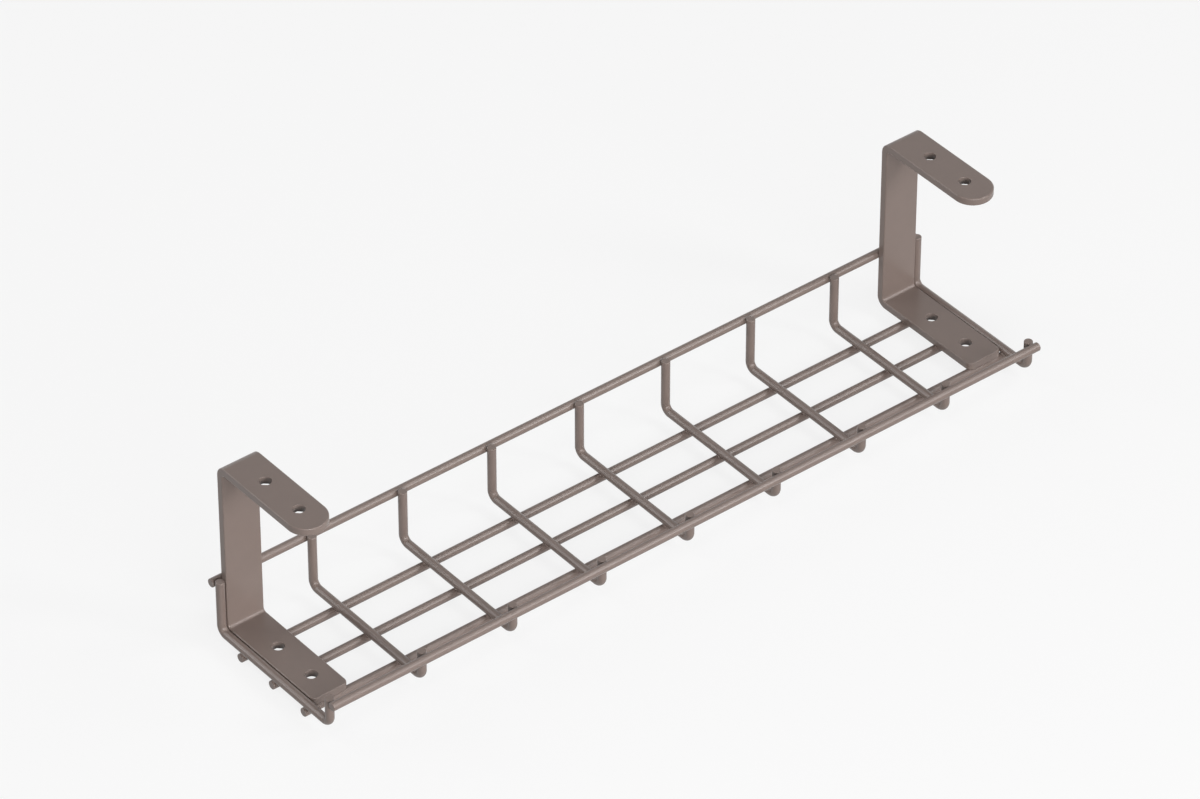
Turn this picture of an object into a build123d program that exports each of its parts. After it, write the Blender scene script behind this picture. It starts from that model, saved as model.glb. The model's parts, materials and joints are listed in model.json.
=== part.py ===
"""A steel wire cable tray that hangs under a table top from two bent flat-bar brackets.

Frame: X runs along the tray, -Y is the open front, +Z is up. The origin is on the ground under the
middle of the tray, which rests on its three floor wires. All sizes are in millimetres.
"""
import os

from build123d import *

os.makedirs("parts", exist_ok=True)

# Wire stock
wire_diameter = 5.5
wire_bend_inside = 2.3
long_wire_end_chamfer = 0.4
bent_wire_flats = 12

# Wire basket, with depth and pitch between centrelines
cross_wire_count = 9
cross_wire_pitch = 65.0
basket_depth = 102.5
back_upright_rise = 36.5
front_upstand_rise = 19.0
back_rail_rise = 33.0
front_rail_rise = 17.0
floor_wire_count = 3
floor_wire_spacing = 30.0
first_floor_wire_setback = 20.6

# Flat bar stock
bar_width = 25.5
bar_thickness = 5.0
bar_bend_inside = 2.2
bar_edge_chamfer = 0.6

# Brackets, with flange lengths from the back face of the web
bracket_height = 121.5
top_flange_length = 80.0
bottom_flange_length = 85.5
bottom_corner_radius = 4.0

# Screw holes, with setbacks from the back face of the web
hole_diameter = 7.5
hole_spacing = 31.5
top_hole_setback = 29.0
bottom_hole_setback = 35.5

# Clearances
weld_gap = 0.02
bracket_side_gap = 0.05

# Heights and lines that follow from the sizes above
wire_radius = wire_diameter / 2
wire_bend_radius = wire_bend_inside + wire_radius
wire_seat = wire_diameter + weld_gap

floor_wire_z = wire_radius
cross_wire_z = floor_wire_z + wire_seat

back_upright_y = basket_depth / 2
front_upstand_y = -basket_depth / 2
back_rail_y = back_upright_y + wire_seat
front_rail_y = front_upstand_y - wire_seat

last_cross_wire_x = cross_wire_pitch * (cross_wire_count - 1) / 2
long_wire_length = 2 * last_cross_wire_x + wire_diameter

bar_bend_radius = bar_bend_inside + bar_thickness / 2
web_back_y = back_upright_y + wire_radius
web_y = web_back_y - bar_thickness / 2
bracket_base_z = cross_wire_z - wire_radius
bracket_top_z = bracket_base_z + bracket_height
bottom_flange_z = bracket_base_z + bar_thickness / 2
top_flange_z = bracket_top_z - bar_thickness / 2
bracket_x = last_cross_wire_x - wire_radius - bracket_side_gap - bar_width / 2


def long_wire(label, y, z):
    """One straight wire along the tray, cut flush with the outer sides of the end cross wires."""
    with BuildPart() as wire:
        with BuildSketch(Plane.YZ.offset(-long_wire_length / 2)):
            with Locations((y, z)):
                Circle(wire_radius)
        extrude(amount=long_wire_length)
        chamfer(wire.faces().filter_by(Axis.X).edges(), length=long_wire_end_chamfer)
    wire.part.label = label
    export_step(wire.part, f"parts/{label}.step")


def cross_wire(label, x):
    """One bent wire: back upright, floor run and front upstand, cropped square at both ends.

    Narrow flats stand for its round section. They face the wires and bars that it touches, so it
    seats on them as the round wire does.
    """
    with BuildPart() as wire:
        with BuildLine(Plane.YZ.offset(x)) as path:
            FilletPolyline(
                (back_upright_y, cross_wire_z + back_upright_rise),
                (back_upright_y, cross_wire_z),
                (front_upstand_y, cross_wire_z),
                (front_upstand_y, cross_wire_z + front_upstand_rise),
                radius=wire_bend_radius,
            )
        with BuildSketch(Plane(origin=path.line @ 0, x_dir=(1, 0, 0), z_dir=path.line % 0)):
            RegularPolygon(
                wire_radius, bent_wire_flats, major_radius=False, rotation=180 / bent_wire_flats
            )
        sweep(path=path.line)
    wire.part.label = label
    export_step(wire.part, f"parts/{label}.step")


def bracket(label, x):
    """One bent flat bar: a C open to the front, with a half-round end on its top flange."""
    top_end_y = web_back_y - top_flange_length + bar_width / 2
    bottom_end_y = web_back_y - bottom_flange_length
    with BuildPart() as bar:
        with BuildLine(Plane.YZ.offset(x)) as path:
            FilletPolyline(
                (top_end_y, top_flange_z),
                (web_y, top_flange_z),
                (web_y, bottom_flange_z),
                (bottom_end_y, bottom_flange_z),
                radius=bar_bend_radius,
            )
        with BuildSketch(Plane(origin=path.line @ 0, x_dir=(1, 0, 0), z_dir=path.line % 0)):
            Rectangle(bar_width, bar_thickness)
        sweep(path=path.line)
        # Half-round end of the top flange
        with BuildSketch(Plane.XY.offset(bracket_top_z)):
            with Locations((x, top_end_y)):
                Circle(bar_width / 2)
        extrude(amount=-bar_thickness)
        # Small round corners on the bottom flange
        fillet(bar.edges().filter_by(Axis.Z).group_by(Axis.Y)[0], radius=bottom_corner_radius)
        # Broken edges all round the bar: each runs on from an edge of the web through the bends
        web_edges = bar.edges().filter_by(Axis.Z).sort_by(SortBy.LENGTH)[-4:]
        chamfer(web_edges, length=bar_edge_chamfer)
        # Two screw holes in each flange
        for z, setback in (
            (bracket_top_z, top_hole_setback),
            (bracket_base_z + bar_thickness, bottom_hole_setback),
        ):
            first_y = web_back_y - setback
            with Locations((x, first_y, z), (x, first_y - hole_spacing, z)):
                Hole(hole_diameter / 2, depth=bar_thickness)
    bar.part.label = label
    export_step(bar.part, f"parts/{label}.step")


for number in range(cross_wire_count):
    cross_wire(f"cross_wire_{number + 1}", number * cross_wire_pitch - last_cross_wire_x)

for number in range(floor_wire_count):
    setback = first_floor_wire_setback + number * floor_wire_spacing
    long_wire(f"floor_wire_{number + 1}", back_upright_y - setback, floor_wire_z)

long_wire("back_rail", back_rail_y, cross_wire_z + back_rail_rise)
long_wire("front_rail", front_rail_y, cross_wire_z + front_rail_rise)

bracket("bracket_left", -bracket_x)
bracket("bracket_right", bracket_x)
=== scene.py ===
"""The looks of the wire cable tray: round coated wires, bent bars with soft edges, welds and a plain studio.

Everything is in metres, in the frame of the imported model, and takes its places from it.
"""
import json
import math

import bmesh
import bpy
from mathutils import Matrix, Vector
from mathutils.geometry import delaunay_2d_cdt


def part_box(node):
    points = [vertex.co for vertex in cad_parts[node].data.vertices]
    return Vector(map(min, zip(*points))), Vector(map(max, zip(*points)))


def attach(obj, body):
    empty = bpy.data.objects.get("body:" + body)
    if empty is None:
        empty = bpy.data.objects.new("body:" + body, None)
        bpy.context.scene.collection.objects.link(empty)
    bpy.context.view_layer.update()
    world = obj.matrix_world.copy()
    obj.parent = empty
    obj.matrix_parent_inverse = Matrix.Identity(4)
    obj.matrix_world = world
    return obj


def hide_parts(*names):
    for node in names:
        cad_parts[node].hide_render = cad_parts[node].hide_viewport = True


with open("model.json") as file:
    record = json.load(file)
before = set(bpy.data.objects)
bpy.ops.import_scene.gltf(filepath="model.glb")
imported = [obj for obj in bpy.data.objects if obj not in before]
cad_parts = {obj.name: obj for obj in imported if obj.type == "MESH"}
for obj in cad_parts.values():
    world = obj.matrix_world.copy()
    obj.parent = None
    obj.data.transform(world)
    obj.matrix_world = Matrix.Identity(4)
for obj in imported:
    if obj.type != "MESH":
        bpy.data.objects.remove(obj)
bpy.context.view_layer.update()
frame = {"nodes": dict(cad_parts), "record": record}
BODY = "root"
MM = 0.001
X, Y, Z = Vector((1, 0, 0)), Vector((0, 1, 0)), Vector((0, 0, 1))

# Stock
wire_radius = 2.75 * MM
wire_bend_inside = 2.3 * MM
wire_end_round = 0.5 * MM
bar_thickness = 5.0 * MM
bar_bend_inside = 2.2 * MM
bar_edge_round = 0.8 * MM
hole_edge_round = 0.3 * MM
bottom_corner_radius = 4.0 * MM

# Ring welds, where two wires cross
ring_weld_reach = 2.1 * MM
ring_weld_waist = 1.75 * MM

# Bead welds, on both sides of a wire that lies along a bar. The climb is the share of a bead's reach at which
# it meets the wire, and the tip is the share of its section that is left at its ends.
bead_weld_reach = 3.1 * MM
bead_weld_climb = 0.75
bead_weld_bulge = 0.25 * MM
bead_weld_length = 16.0 * MM
bead_weld_bluntness = 4
bead_weld_tip = 0.05
bead_weld_ripple = 0.05
bead_weld_ripple_pitch = 1.6 * MM

# Fineness of the meshes
wire_sides = 40
long_wire_step = 20 * MM
bend_steps = 16
rim_steps = 4
round_end_steps = 40
corner_steps = 8
hole_sides = 48
ring_weld_sides = 32
ring_weld_steps = 6
bead_weld_steps = 48
bead_weld_sides = 6
flat_tolerance = 0.0001 * MM
merge_distance = 0.001 * MM

# Coating. A roughness under about 0.275 shows as specks once a render is denoised, so all of it stays above.
coat_colour = (0.191, 0.147, 0.129)
coat_mottle = 0.02
coat_mottle_size = 9 * MM
coat_smoothest = 0.28
coat_roughest = 0.31
coat_gloss_size = 2.5 * MM
coat_specular = 0.40
coat_ripple_size = 1.4 * MM
coat_ripple_depth = 0.005 * MM

# The span in which nearly all of a noise's values lie
noise_span = (0.3, 0.7)

# Studio
floor_reach = 30
floor_lit = 0.12
floor_glow = 0.833
floor_bounce = 0.03
backdrop_grey = 0.93
world_light = 0.03
lamp_aim = Vector((0, 0, 60)) * MM
softboxes = (
    # name, azimuth and elevation in degrees, distance, width and height in metres, level
    ("front", -12, 15, 2.3, 1.8, 1.0, 0.74),
    ("front_left", -34, 16, 1.8, 1.4, 0.9, 0.44),
    ("front_right", 35, 31, 3.0, 0.6, 0.8, 0.30),
    ("front_high", -10, 44, 2.4, 1.8, 1.6, 0.07),
    ("right_high", 60, 54, 3.0, 0.6, 1.0, 0.16),
    ("right", 110, 14, 3.0, 2.2, 1.2, 0.08),
    ("back", -162, 22, 3.4, 5.4, 2.2, 0.46),
    ("back_left", -132, 24, 3.0, 0.6, 1.0, 0.09),
    ("back_high", -152, 46, 3.0, 0.6, 0.8, 0.08),
)

# Camera, fitted to the photograph
camera_azimuth = -38.60
camera_elevation = 38.39
camera_distance = 4.0456
camera_aim = Vector((-5.6, 24.9, 66.9)) * MM
camera_lens = 209.3


# Objects

def new_mesh(name, bm):
    """Turns a bmesh into a mesh."""
    mesh = bpy.data.meshes.new(name)
    bm.to_mesh(mesh)
    bm.free()
    return mesh


def new_object(name, data):
    """Puts a mesh, lamp or camera into the scene."""
    thing = bpy.data.objects.new(name, data)
    bpy.context.scene.collection.objects.link(thing)
    return thing


def new_piece(name, bm, *nodes):
    """Turns a bmesh into a smooth coated piece that stands for CAD nodes."""
    bmesh.ops.recalc_face_normals(bm, faces=bm.faces)
    mesh = new_mesh(name, bm)
    for polygon in mesh.polygons:
        polygon.use_smooth = True
    mesh.materials.append(powder_coat)
    piece = new_object(name, mesh)
    piece.modifiers.new("weighted_normals", "WEIGHTED_NORMAL")
    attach(piece, BODY)
    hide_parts(*nodes)
    return piece


def centre_of(node):
    """The middle of a node's box."""
    low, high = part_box(node)
    return (low + high) / 2


# Outlines and skins

def arc(centre, radius, start, sweep, steps):
    """Points of an arc round a 2D centre, with its angles in degrees and both ends included."""
    angles = [math.radians(start + sweep * i / steps) for i in range(steps + 1)]
    return [(centre[0] + radius * math.cos(a), centre[1] + radius * math.sin(a)) for a in angles]


def hole_circle(s, radius):
    """Points round a hole on a flat bar's middle line, s along it."""
    return arc((s, 0), radius, 0, 360, hole_sides)[:-1]


def quarter_round(radius):
    """The steps over a rounded edge, as (depth under the face ahead, depth under the face left behind)."""
    angles = [math.pi / 2 * step / rim_steps for step in range(rim_steps + 1)]
    return [(radius * (1 - math.sin(a)), radius * (1 - math.cos(a))) for a in angles]


def add_skin(bm, loops):
    """Adds bands of faces between loops that have the same number of points, and returns their vertices."""
    rings = [[bm.verts.new(point) for point in loop] for loop in loops]
    for low, high in zip(rings, rings[1:]):
        for i in range(len(low)):
            following = (i + 1) % len(low)
            bm.faces.new((low[i], low[following], high[following], high[i]))
    return rings


def add_lump(bm, loops):
    """Adds a skin with a flat face at both ends."""
    rings = add_skin(bm, loops)
    bm.faces.new(rings[0])
    bm.faces.new(rings[-1])


# Wires

def add_tube(bm, path, side):
    """Adds a round wire along points of one plane, with rounded rims at its cut ends.

    The side is the way square to that plane.
    """
    points = [Vector(point) for point in path]
    chords = [(after - before).normalized() for before, after in zip(points, points[1:])]
    meetings = zip(chords[:1] + chords, chords + chords[-1:])
    tangents = [(before + after).normalized() for before, after in meetings]
    first, last = tangents[0], tangents[-1]

    rim = quarter_round(wire_end_round)
    stations = [(points[0] + first * inset, first, wire_radius - shrink) for inset, shrink in reversed(rim)]
    stations += [(point, tangent, wire_radius) for point, tangent in zip(points[1:-1], tangents[1:-1])]
    stations += [(points[-1] - last * inset, last, wire_radius - shrink) for inset, shrink in rim]

    turns = [2 * math.pi * i / wire_sides for i in range(wire_sides)]
    loops = []
    for centre, tangent, radius in stations:
        up = tangent.cross(side)
        loops.append([centre + (side * math.cos(t) + up * math.sin(t)) * radius for t in turns])
    add_lump(bm, loops)


def long_wire(node):
    """A straight wire along X in place of its node."""
    low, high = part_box(node)
    middle = centre_of(node)
    steps = round((high.x - low.x) / long_wire_step)
    path = [(low.x + (high.x - low.x) * i / steps, middle.y, middle.z) for i in range(steps + 1)]
    bm = bmesh.new()
    add_tube(bm, path, Z)
    return new_piece(f"{node}_coated", bm, node)


def cross_wire(node, floor_wires, rails):
    """A bent wire in place of its node, with the welds that join it to the long wires."""
    low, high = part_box(node)
    x = (low.x + high.x) / 2
    back, front, floor = high.y - wire_radius, low.y + wire_radius, low.z + wire_radius
    front_top = max(v.co.z for v in frame["nodes"][node].data.vertices if v.co.y < 0)
    bend = wire_bend_inside + wire_radius
    profile = [(back, high.z)]
    profile += arc((back - bend, floor + bend), bend, 0, -90, bend_steps)
    profile += arc((front + bend, floor + bend), bend, -90, -90, bend_steps)
    profile += [(front, front_top)]
    bm = bmesh.new()
    add_tube(bm, [(x, y, z) for y, z in profile], X)

    # A weld is halfway between the sides that its two wires turn to each other
    for long_node in floor_wires:
        near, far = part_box(long_node)
        add_ring_weld(bm, Vector((x, (near.y + far.y) / 2, (far.z + low.z) / 2)), Z, Y)
    for long_node in rails:
        near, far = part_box(long_node)
        y, inward = ((near.y + high.y) / 2, -Y) if near.y > 0 else ((far.y + low.y) / 2, Y)
        add_ring_weld(bm, Vector((x, y, (near.z + far.z) / 2)), inward, Z)
    return new_piece(f"{node}_coated", bm, node)


# Welds

def wire_drop(offset):
    """How far a wire's surface lies from the plane that touches it, at an offset from the touching line."""
    return wire_radius - math.sqrt(wire_radius ** 2 - offset ** 2)


def add_ring_weld(bm, contact, normal, along):
    """Adds the fused ring round the point where a cross wire meets a long wire.

    The normal points from the long wire to the cross wire, and along is the way the cross wire runs there.
    The ring's first rim lies on the long wire and its last rim on the cross wire.
    """
    across = along.cross(normal)
    turns = [2 * math.pi * i / ring_weld_sides for i in range(ring_weld_sides)]
    loops = []
    for step in range(ring_weld_steps + 1):
        share = step / ring_weld_steps
        pinch = 1 - (2 * share - 1) ** 2
        reach = ring_weld_reach - (ring_weld_reach - ring_weld_waist) * pinch
        loop = []
        for turn in turns:
            u, v = math.cos(turn), math.sin(turn)
            top = wire_drop(ring_weld_reach * u)
            bottom = -wire_drop(ring_weld_reach * v)
            height = bottom + (top - bottom) * share
            loop.append(contact + (across * u + along * v) * reach + normal * height)
        loops.append(loop)
    rings = add_skin(bm, loops)
    for ring in (rings[0], rings[-1]):
        hub = bm.verts.new(sum((v.co for v in ring), Vector()) / ring_weld_sides)
        for i in range(ring_weld_sides):
            bm.faces.new((ring[i], ring[(i + 1) % ring_weld_sides], hub))


def add_bead_weld(bm, contact, normal, room):
    """Adds the beads that join a wire along X to a bar. The normal points from the wire into the bar.

    One closed lump makes both beads: its middle is hidden between the wire and the bar. It is drawn in where
    the bar leaves it little room.
    """
    across = normal.cross(X)
    reach = min(bead_weld_reach, room)
    climb_out = bead_weld_climb * reach
    climb_down = wire_drop(climb_out)
    half = []
    for i in range(bead_weld_sides + 1):
        share = i / bead_weld_sides
        out = reach + (climb_out - reach) * share
        bulge = bead_weld_bulge * math.sin(math.pi * share)
        half.append((out + bulge, -climb_down * share - bulge / 2))
    section = half + [(-out, down) for out, down in reversed(half)]

    # The steps are shorter towards the ends, which close in a blunt round
    loops = []
    for step in range(bead_weld_steps + 1):
        place = math.sin(math.pi * (step / bead_weld_steps - 0.5))
        along = place * bead_weld_length / 2
        swell = 1 + bead_weld_ripple * math.cos(2 * math.pi * along / bead_weld_ripple_pitch)
        scale = max(math.sqrt(1 - place ** bead_weld_bluntness), bead_weld_tip) * swell
        centre = contact + X * along
        loops.append([centre + (across * out + normal * down) * scale for out, down in section])
    add_lump(bm, loops)


# Bars

def bracket(node, floor_wires, back_rail):
    """A bent bar in place of its node, made as the real one is: cut and drilled flat, then bent twice."""
    low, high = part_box(node)
    x = (low.x + high.x) / 2
    half_width, half_thick = (high.x - low.x) / 2, bar_thickness / 2
    bend = bar_bend_inside + half_thick
    web_y, top_z, bottom_z = high.y - half_thick, high.z - half_thick, low.z + half_thick
    middle_z = (low.z + high.z) / 2
    top_tip = min(v.co.y for v in frame["nodes"][node].data.vertices if v.co.z > middle_z)

    # Lengths along the middle of the bar, from the round end of the top flange
    bend_length = math.pi / 2 * bend
    bend_1 = web_y - bend - top_tip
    web_start = bend_1 + bend_length
    bend_2 = web_start + top_z - bottom_z - 2 * bend
    bottom_start = bend_2 + bend_length
    length = bottom_start + web_y - bend - low.y
    bend_parts = [bend_length * i / bend_steps for i in range(bend_steps + 1)]
    folds = [start + part for start in (bend_1, bend_2) for part in bend_parts]

    def bent(s, w, h):
        """Where a point of the flat bar goes: s along it, w across it and h out of its outer face."""
        if s <= bend_1:
            y, z = top_tip + s, top_z + h
        elif s < web_start:
            turn = (s - bend_1) / bend
            y = web_y - bend + (bend + h) * math.sin(turn)
            z = top_z - bend + (bend + h) * math.cos(turn)
        elif s <= bend_2:
            y, z = web_y + h, top_z - bend - (s - web_start)
        elif s < bottom_start:
            turn = (s - bend_2) / bend
            y = web_y - bend + (bend + h) * math.cos(turn)
            z = bottom_z + bend - (bend + h) * math.sin(turn)
        else:
            y, z = web_y - bend - (s - bottom_start), bottom_z - h
        return Vector((x + w, y, z))

    def outline(inset):
        """The flat bar's outline, drawn in by an inset: round end, folds, two corners and the folds again."""
        edge = half_width - inset
        corner = bottom_corner_radius - inset
        corner_s, corner_w = length - bottom_corner_radius, half_width - bottom_corner_radius
        points = arc((half_width, 0), edge, 270, -180, round_end_steps)
        points += [(s, edge) for s in folds]
        points += arc((corner_s, corner_w), corner, 90, -90, corner_steps)
        points += arc((corner_s, -corner_w), corner, 0, -90, corner_steps)
        points += [(s, -edge) for s in reversed(folds)]
        return points

    holes = []
    for centre, radius in bracket_holes(x):
        s = centre.y - top_tip if centre.z > middle_z else bottom_start + web_y - bend - centre.y
        holes.append((s, radius))

    bm = bmesh.new()
    add_skin(bm, [
        [bent(s, w, h) for s, w in outline(inset)]
        for inset, h in edge_steps(bar_edge_round)
    ])
    for place, radius in holes:
        add_skin(bm, [
            [bent(s, w, h) for s, w in hole_circle(place, radius + inset)]
            for inset, h in edge_steps(hole_edge_round)
        ])
    rim = outline(bar_edge_round)
    fold_ends = [(round_end_steps + 1 + i, len(rim) - 1 - i) for i in range(len(folds))]
    add_broad_faces(bm, bent, rim, fold_ends, holes)

    for wire in floor_wires:
        y = centre_of(wire).y
        add_bead_weld(bm, Vector((x, y, low.z)), Z, y - low.y - bar_edge_round)
    add_bead_weld(bm, Vector((x, high.y, centre_of(back_rail).z)), -Y, bead_weld_reach)
    return new_piece(f"{node}_coated", bm, node)


def edge_steps(rounding):
    """The steps down a bar's edge, over its two rounded corners, as (inset, height over the bar's middle)."""
    upper = [(inset, bar_thickness / 2 - drop) for inset, drop in quarter_round(rounding)]
    return upper + [(inset, -h) for inset, h in reversed(upper)]


def bracket_holes(bracket_x):
    """A bracket's screw holes as (centre, radius), from the screw patterns that the record states."""
    holes = []
    for mount in frame["record"]["mounts"]:
        centre = Vector(mount["pos_m"])
        if mount["kind"] == "bolt_pattern" and centre.x * bracket_x > 0:
            reach = mount["dims"]["spacing_y_mm"] / 2 * MM
            radius = mount["dims"]["hole_r_mm"] * MM
            holes += [(centre - Y * reach, radius), (centre + Y * reach, radius)]
    return holes


def add_broad_faces(bm, bent, rim, fold_ends, holes):
    """Adds a bar's two broad faces: triangles between its rim, its holes and its folds, bent into place.

    Their outer points are merged with those that the bar already has along its rim and its holes.
    """
    points, edges = [], []
    for loop in [rim] + [hole_circle(s, radius + hole_edge_round) for s, radius in holes]:
        first = len(points)
        points += [Vector(point) for point in loop]
        edges += [(first + i, first + (i + 1) % len(loop)) for i in range(len(loop))]
    flat, _, triangles, *_ = delaunay_2d_cdt(points, edges + fold_ends, [], 0, flat_tolerance)
    for h in (bar_thickness / 2, -bar_thickness / 2):
        corners = [bm.verts.new(bent(p.x, p.y, h)) for p in flat]
        for triangle in triangles:
            centre = sum((flat[i] for i in triangle), Vector((0, 0))) / 3
            if all((centre - Vector((s, 0))).length > radius for s, radius in holes):
                bm.faces.new([corners[i] for i in triangle])
    bmesh.ops.remove_doubles(bm, verts=bm.verts, dist=merge_distance)


# Shader nodes

def ranged(tree, value, low, high, span=(0, 1)):
    """A value that goes from low to high as another goes over its span."""
    node = tree.nodes.new("ShaderNodeMapRange")
    node.inputs["From Min"].default_value, node.inputs["From Max"].default_value = span
    node.inputs["To Min"].default_value = low
    node.inputs["To Max"].default_value = high
    tree.links.new(value, node.inputs["Value"])
    return node.outputs["Result"]


def mixed(tree, factor, first, second):
    """A colour that goes from the first to the second as a factor goes from 0 to 1."""
    node = tree.nodes.new("ShaderNodeMix")
    node.data_type = "RGBA"
    node.inputs["A"].default_value = (*first, 1)
    node.inputs["B"].default_value = (*second, 1)
    tree.links.new(factor, node.inputs["Factor"])
    return node.outputs["Result"]


def rays_that_see(tree):
    """1 for camera, glossy and transmission rays and 0 for the rays that only carry light."""
    rays = tree.nodes.new("ShaderNodeLightPath")
    seen = rays.outputs["Is Camera Ray"]
    for kind in ("Is Glossy Ray", "Is Transmission Ray"):
        either = tree.nodes.new("ShaderNodeMath")
        either.operation = "MAXIMUM"
        tree.links.new(seen, either.inputs[0])
        tree.links.new(rays.outputs[kind], either.inputs[1])
        seen = either.outputs["Value"]
    return seen


# Coating

def make_powder_coat():
    """A satin taupe powder coat: an even colour, faint mottling and the fine ripple of a baked finish."""
    material = bpy.data.materials.new("powder_coat")
    material.use_nodes = True
    tree = material.node_tree
    shader = tree.nodes["Principled BSDF"]
    place = tree.nodes.new("ShaderNodeTexCoord")

    def noise(size, detail, seed):
        """Noise with features of a given size in metres."""
        node = tree.nodes.new("ShaderNodeTexNoise")
        node.noise_dimensions = "4D"
        node.inputs["W"].default_value = seed
        node.inputs["Scale"].default_value = 1 / size
        node.inputs["Detail"].default_value = detail
        tree.links.new(place.outputs["Object"], node.inputs["Vector"])
        return node.outputs["Fac"]

    mottle = ranged(tree, noise(coat_mottle_size, detail=4, seed=1), 0, 1, noise_span)
    darkest = [c * (1 - coat_mottle) for c in coat_colour]
    palest = [c * (1 + coat_mottle) for c in coat_colour]
    tree.links.new(mixed(tree, mottle, darkest, palest), shader.inputs["Base Color"])

    gloss = noise(coat_gloss_size, detail=2, seed=2)
    roughness = ranged(tree, gloss, coat_smoothest, coat_roughest, noise_span)
    tree.links.new(roughness, shader.inputs["Roughness"])
    shader.inputs["Specular IOR Level"].default_value = coat_specular

    ripple = tree.nodes.new("ShaderNodeBump")
    ripple.inputs["Strength"].default_value = 1
    ripple.inputs["Distance"].default_value = coat_ripple_depth
    tree.links.new(noise(coat_ripple_size, detail=2, seed=3), ripple.inputs["Height"])
    tree.links.new(ripple.outputs["Normal"], shader.inputs["Normal"])
    return material


powder_coat = make_powder_coat()
nodes = sorted(frame["nodes"])
floor_nodes = [n for n in nodes if n.startswith("floor_wire")]
rail_nodes = [n for n in nodes if n.endswith("_rail")]
for node in floor_nodes + rail_nodes:
    long_wire(node)
for node in nodes:
    if node.startswith("cross_wire"):
        cross_wire(node, floor_nodes, rail_nodes)
    if node.startswith("bracket"):
        bracket(node, floor_nodes, "back_rail")


# Studio

def make_floor():
    """A plain pale floor that keeps the tray's shadow.

    Part of its grey is its own glow and part is the light that falls on it, so the shadow stays faint. Rays
    that only carry light meet a dark floor, which throws little of it up at the tray.
    """
    bm = bmesh.new()
    bmesh.ops.create_grid(bm, x_segments=1, y_segments=1, size=floor_reach)
    floor = new_object("floor", new_mesh("floor", bm))

    material = bpy.data.materials.new("floor")
    material.use_nodes = True
    tree = material.node_tree
    shader = tree.nodes["Principled BSDF"]
    shader.inputs["Roughness"].default_value = 1
    shader.inputs["Specular IOR Level"].default_value = 0
    shader.inputs["Emission Color"].default_value = (1, 1, 1, 1)
    seen = rays_that_see(tree)
    tree.links.new(mixed(tree, seen, [floor_bounce] * 3, [floor_lit] * 3), shader.inputs["Base Color"])
    tree.links.new(ranged(tree, seen, 0, floor_glow), shader.inputs["Emission Strength"])
    floor.data.materials.append(material)


def make_world():
    """A dim even light from all round, and a backdrop as pale as the floor for the rays that see it."""
    world = bpy.data.worlds.new("studio")
    world.use_nodes = True
    bpy.context.scene.world = world
    tree = world.node_tree
    background = tree.nodes["Background"]
    background.inputs["Color"].default_value = (1, 1, 1, 1)
    strength = ranged(tree, rays_that_see(tree), world_light, backdrop_grey)
    tree.links.new(strength, background.inputs["Strength"])


def place_round(thing, aim, azimuth, elevation, distance):
    """Puts a lamp or camera round an aim and turns it to face it.

    Azimuth 0 is in front of the tray and 90 at its right, in degrees.
    """
    a, e = math.radians(azimuth), math.radians(elevation)
    out = Vector((math.sin(a) * math.cos(e), -math.cos(a) * math.cos(e), math.sin(e)))
    thing.location = aim + out * distance
    thing.rotation_mode = "QUATERNION"
    thing.rotation_quaternion = (-out).to_track_quat("-Z", "Y")


def softbox(name, azimuth, elevation, distance, width, height, level):
    """A soft lamp that faces the tray.

    At level 1 it alone makes a surface that faces it as bright as the surface's colour.
    """
    lamp = bpy.data.lights.new(name, "AREA")
    lamp.shape = "RECTANGLE"
    lamp.size, lamp.size_y = width, height
    lamp.energy = level * (math.pi * distance) ** 2
    box = new_object(name, lamp)
    place_round(box, lamp_aim, azimuth, elevation, distance)
    box.visible_camera = False


def make_camera():
    """The camera at the photograph's place."""
    camera = new_object("camera", bpy.data.cameras.new("camera"))
    camera.data.lens = camera_lens
    place_round(camera, camera_aim, camera_azimuth, camera_elevation, camera_distance)
    bpy.context.scene.camera = camera


make_floor()
make_world()
for lamp in softboxes:
    softbox(*lamp)
make_camera()
bpy.context.scene.view_settings.view_transform = "Standard"
